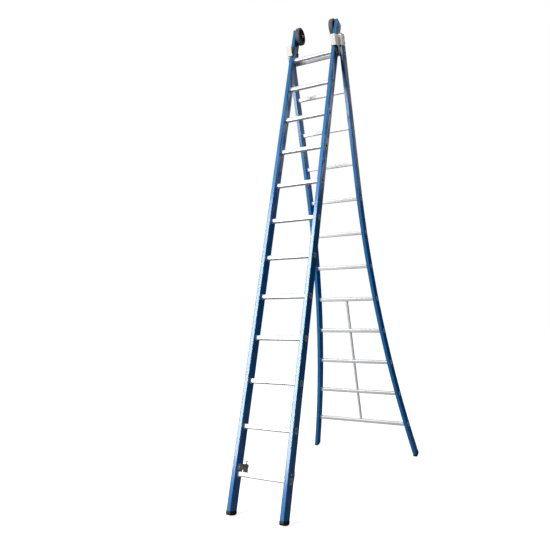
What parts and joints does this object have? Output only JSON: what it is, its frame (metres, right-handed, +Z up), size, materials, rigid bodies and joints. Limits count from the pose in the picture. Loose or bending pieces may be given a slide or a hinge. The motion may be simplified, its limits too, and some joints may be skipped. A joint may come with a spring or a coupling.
{
  "type": "combination ladder",
  "caption": "Two-section aluminium combination ladder standing as an A-frame, flared rear stiles, silver rungs, guide brackets, wall wheels and rung hooks.",
  "frame": {"origin": "on the floor, midway between the front feet and the rear feet, on the middle plane", "axes": "+X to the right side of the ladder seen from the front section, +Y from the front section to the rear section, +Z up"},
  "size_m": [0.9508, 2.0451, 3.4913],
  "materials": {
    "blue_stile": "satin powder coat",
    "rung_aluminium": "mill finish with fine lengthwise lines",
    "bracket_steel": "zinc plated",
    "hook_steel": "galvanised",
    "fastener_steel": "zinc plated",
    "black_rubber": "matt moulded",
    "black_plastic": "matt moulded",
    "grey_tyre": "matt moulded"
  },
  "bodies": {
    "rear_section": {"rear_left_stile": "blue_stile", "rear_right_stile": "blue_stile", "rear_rung_01": "rung_aluminium", "rear_rung_02": "rung_aluminium", "rear_rung_03": "rung_aluminium", "rear_rung_04": "rung_aluminium", "rear_rung_05": "rung_aluminium", "rear_rung_06": "rung_aluminium", "rear_rung_07": "rung_aluminium", "rear_rung_08": "rung_aluminium", "rear_rung_09": "rung_aluminium", "rear_rung_10": "rung_aluminium", "rear_rung_11": "rung_aluminium", "rear_rung_12": "rung_aluminium", "rear_centre_strut_1": "rung_aluminium", "rear_centre_strut_2": "rung_aluminium", "rear_centre_strut_3": "rung_aluminium", "rear_centre_strut_4": "rung_aluminium", "rear_left_foot": "black_rubber", "rear_right_foot": "black_rubber", "rear_left_top_cap": "black_plastic", "rear_right_top_cap": "black_plastic", "left_guide_bracket": "bracket_steel", "right_guide_bracket": "bracket_steel", "left_pivot_stud": "fastener_steel", "right_pivot_stud": "fastener_steel", "guide_bracket_bolts": "fastener_steel"},
    "guide_shoes": {"left_guide_shoe": "bracket_steel", "right_guide_shoe": "bracket_steel"},
    "front_section": {"front_left_stile": "blue_stile", "front_right_stile": "blue_stile", "front_rung_01": "rung_aluminium", "front_rung_02": "rung_aluminium", "front_rung_03": "rung_aluminium", "front_rung_04": "rung_aluminium", "front_rung_05": "rung_aluminium", "front_rung_06": "rung_aluminium", "front_rung_07": "rung_aluminium", "front_rung_08": "rung_aluminium", "front_rung_09": "rung_aluminium", "front_rung_10": "rung_aluminium", "front_rung_11": "rung_aluminium", "front_rung_12": "rung_aluminium", "front_left_foot": "black_rubber", "front_right_foot": "black_rubber", "front_left_top_cap": "black_plastic", "front_right_top_cap": "black_plastic", "left_wheel_axle": "fastener_steel", "right_wheel_axle": "fastener_steel", "left_rung_hook": "hook_steel", "right_rung_hook": "hook_steel", "hook_bolts_and_rivets": "fastener_steel"},
    "left_wheel": {"left_wheel_hub": "black_plastic", "left_wheel_tyre": "grey_tyre"},
    "right_wheel": {"right_wheel_hub": "black_plastic", "right_wheel_tyre": "grey_tyre"},
    "left_latch": {"left_hook_latch": "hook_steel"},
    "right_latch": {"right_hook_latch": "hook_steel"}
  },
  "joints": [
    {"name": "a_frame_fold", "type": "hinge", "parent": "rear_section", "child": "guide_shoes", "pos_m": [0, -0.08169, 3.22451], "axis": [1, 0, 0], "range_deg": [0, 31.6]},
    {"name": "front_section_extension", "type": "slide", "parent": "guide_shoes", "child": "front_section", "axis": [0, 0.2627, 0.9649], "range_m": [0, 2.1]},
    {"name": "left_wheel_spin", "type": "hinge", "parent": "front_section", "child": "left_wheel", "pos_m": [-0.1415, -0.05604, 3.42532], "axis": [1, 0, 0], "continuous": true},
    {"name": "right_wheel_spin", "type": "hinge", "parent": "front_section", "child": "right_wheel", "pos_m": [0.1415, -0.05604, 3.42532], "axis": [1, 0, 0], "continuous": true},
    {"name": "left_latch_swing", "type": "hinge", "parent": "front_section", "child": "left_latch", "pos_m": [-0.1561, -0.84207, 0.25652], "axis": [1, 0, 0], "range_deg": [0, 45], "stiffness_Nm_per_rad": 0.3, "springref_deg": -17.19},
    {"name": "right_latch_swing", "type": "hinge", "parent": "front_section", "child": "right_latch", "pos_m": [0.1561, -0.84207, 0.25652], "axis": [1, 0, 0], "range_deg": [0, 45], "stiffness_Nm_per_rad": 0.3, "springref_deg": -17.19}
  ]
}
